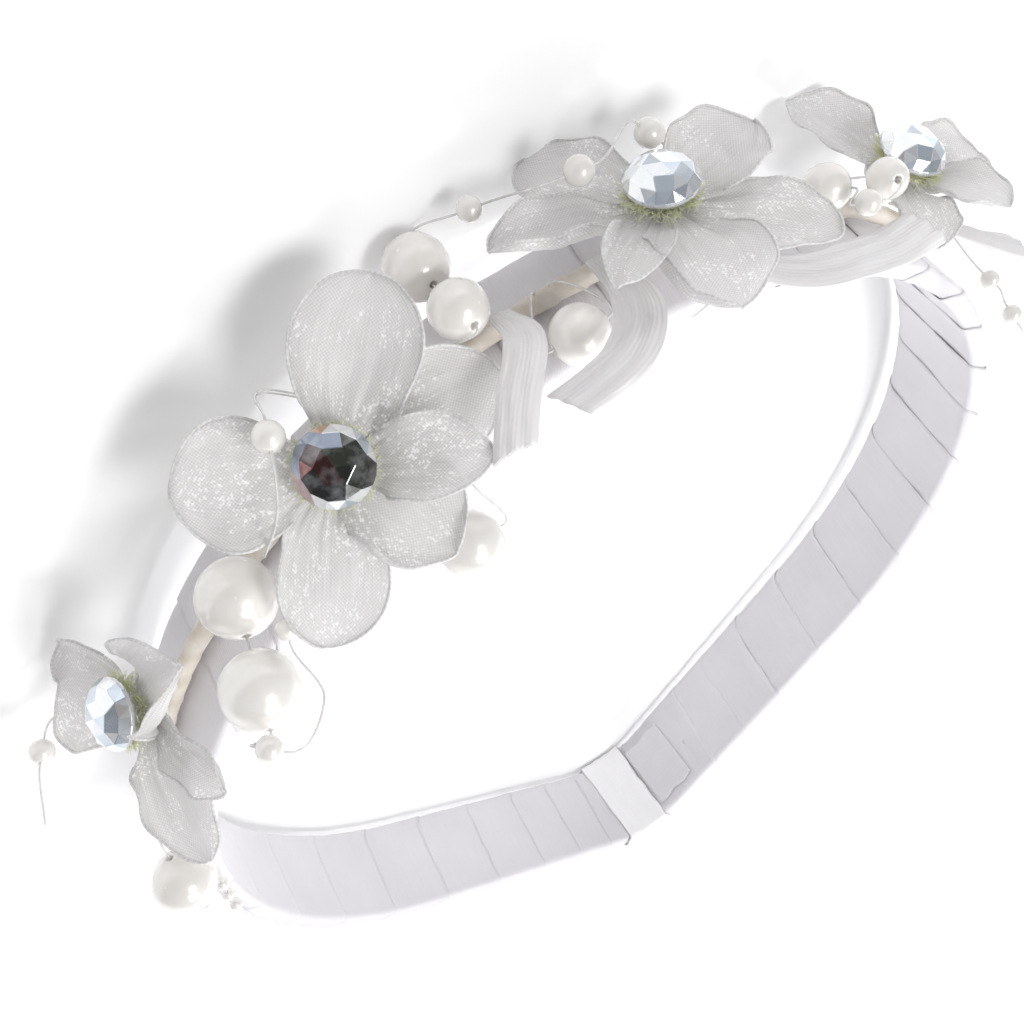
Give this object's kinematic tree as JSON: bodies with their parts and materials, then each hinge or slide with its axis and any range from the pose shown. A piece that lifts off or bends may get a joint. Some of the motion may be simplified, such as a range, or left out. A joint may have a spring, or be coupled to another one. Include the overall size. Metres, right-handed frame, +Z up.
{
  "type": "flower crown",
  "caption": "Ribbon-wrapped hoop headpiece with a pointed back and a front garland of organza flowers, stones and pearls on nylon line.",
  "frame": {"origin": "middle of the bottom of the whole crown's box", "axes": "+Z up, along the hoop's own axis; +Y towards the pointed back where the hoop is joined; flowers at -Y"},
  "size_m": [0.1774, 0.2078, 0.0487],
  "materials": {
    "satin": "satin",
    "organza": "sheer, slightly glossy",
    "strip": "matte",
    "tape": "matte",
    "pearl": "pearl lacquer",
    "line": "clear gloss",
    "tuft": "matte fibres",
    "dark_stone": "faceted, mirror-backed",
    "clear_stone": "faceted, mirror-backed"
  },
  "bodies": {
    "crown": {"band_strip": "strip", "bead_spray_1": "line", "bead_spray_2": "line", "bead_spray_3": "line", "flower_a_calyx": "organza", "flower_a_petal_1": "organza", "flower_a_petal_2": "organza", "flower_a_petal_3": "organza", "flower_a_petal_4": "organza", "flower_a_stone": "clear_stone", "flower_a_tuft": "tuft", "flower_b_calyx": "organza", "flower_b_petal_1": "organza", "flower_b_petal_2": "organza", "flower_b_petal_3": "organza", "flower_b_petal_4": "organza", "flower_b_petal_5": "organza", "flower_b_petal_6": "organza", "flower_b_stone": "dark_stone", "flower_b_tuft": "tuft", "flower_c_calyx": "organza", "flower_c_petal_1": "organza", "flower_c_petal_2": "organza", "flower_c_petal_3": "organza", "flower_c_petal_4": "organza", "flower_c_petal_5": "organza", "flower_c_petal_6": "organza", "flower_c_stone": "clear_stone", "flower_c_tuft": "tuft", "flower_d_calyx": "organza", "flower_d_petal_1": "organza", "flower_d_petal_2": "organza", "flower_d_petal_3": "organza", "flower_d_petal_4": "organza", "flower_d_stone": "clear_stone", "flower_d_tuft": "tuft", "garland_spine": "tape", "joint_collar": "satin", "joint_tape": "tape", "pearl_line_1": "line", "pearl_line_2": "line", "pearl_line_3": "line", "pearl_line_4": "line", "pearl_line_5": "line", "pearl_line_6": "line", "ribbon_tail": "satin", "ribbon_wrap": "satin", "satin_leaf": "satin", "satin_loop_1": "satin", "satin_loop_2": "satin", "satin_strip": "satin"},
    "line_1_pearl_1": {"pearl_line_1_pearl_1": "pearl"},
    "line_1_pearl_2": {"pearl_line_1_pearl_2": "pearl"},
    "line_2_pearl_1": {"pearl_line_2_pearl_1": "pearl"},
    "line_3_pearl_1": {"pearl_line_3_pearl_1": "pearl"},
    "line_3_pearl_2": {"pearl_line_3_pearl_2": "pearl"},
    "line_4_pearl_1": {"pearl_line_4_pearl_1": "pearl"},
    "line_5_pearl_1": {"pearl_line_5_pearl_1": "pearl"},
    "line_5_pearl_2": {"pearl_line_5_pearl_2": "pearl"},
    "line_6_pearl_1": {"pearl_line_6_pearl_1": "pearl"}
  },
  "joints": [
    {"name": "line_1_pearl_1_spin", "type": "hinge", "parent": "crown", "child": "line_1_pearl_1", "pos_m": [0.05029, -0.07795, 0.0271], "axis": [0.2677, 0.2054, 0.9414], "continuous": true},
    {"name": "line_1_pearl_2_spin", "type": "hinge", "parent": "crown", "child": "line_1_pearl_2", "pos_m": [0.05367, -0.07535, 0.039], "axis": [0.2677, 0.2054, 0.9414], "continuous": true},
    {"name": "line_2_pearl_1_spin", "type": "hinge", "parent": "crown", "child": "line_2_pearl_1", "pos_m": [0.02174, -0.07699, 0.0377], "axis": [-0.9985, 0.0554, 0], "continuous": true},
    {"name": "line_3_pearl_1_spin", "type": "hinge", "parent": "crown", "child": "line_3_pearl_1", "pos_m": [0.00791, -0.09325, 0.0167], "axis": [0.0276, 0.1156, -0.9929], "continuous": true},
    {"name": "line_3_pearl_2_spin", "type": "hinge", "parent": "crown", "child": "line_3_pearl_2", "pos_m": [0.00821, -0.09199, 0.0059], "axis": [0.0276, 0.1156, -0.9929], "continuous": true},
    {"name": "line_4_pearl_1_spin", "type": "hinge", "parent": "crown", "child": "line_4_pearl_1", "pos_m": [-0.00323, -0.09027, 0.0276], "axis": [-0.9998, -0.0175, 0], "continuous": true},
    {"name": "line_5_pearl_1_spin", "type": "hinge", "parent": "crown", "child": "line_5_pearl_1", "pos_m": [-0.04785, -0.08362, 0.0224], "axis": [-0.6737, -0.1419, 0.7252], "continuous": true},
    {"name": "line_5_pearl_2_spin", "type": "hinge", "parent": "crown", "child": "line_5_pearl_2", "pos_m": [-0.05584, -0.08308, 0.0259], "axis": [-0.1069, 0.5899, -0.8004], "continuous": true},
    {"name": "line_6_pearl_1_spin", "type": "hinge", "parent": "crown", "child": "line_6_pearl_1", "pos_m": [0.07866, -0.02935, 0.0337], "axis": [0.0436, 0.8639, 0.5019], "continuous": true}
  ]
}
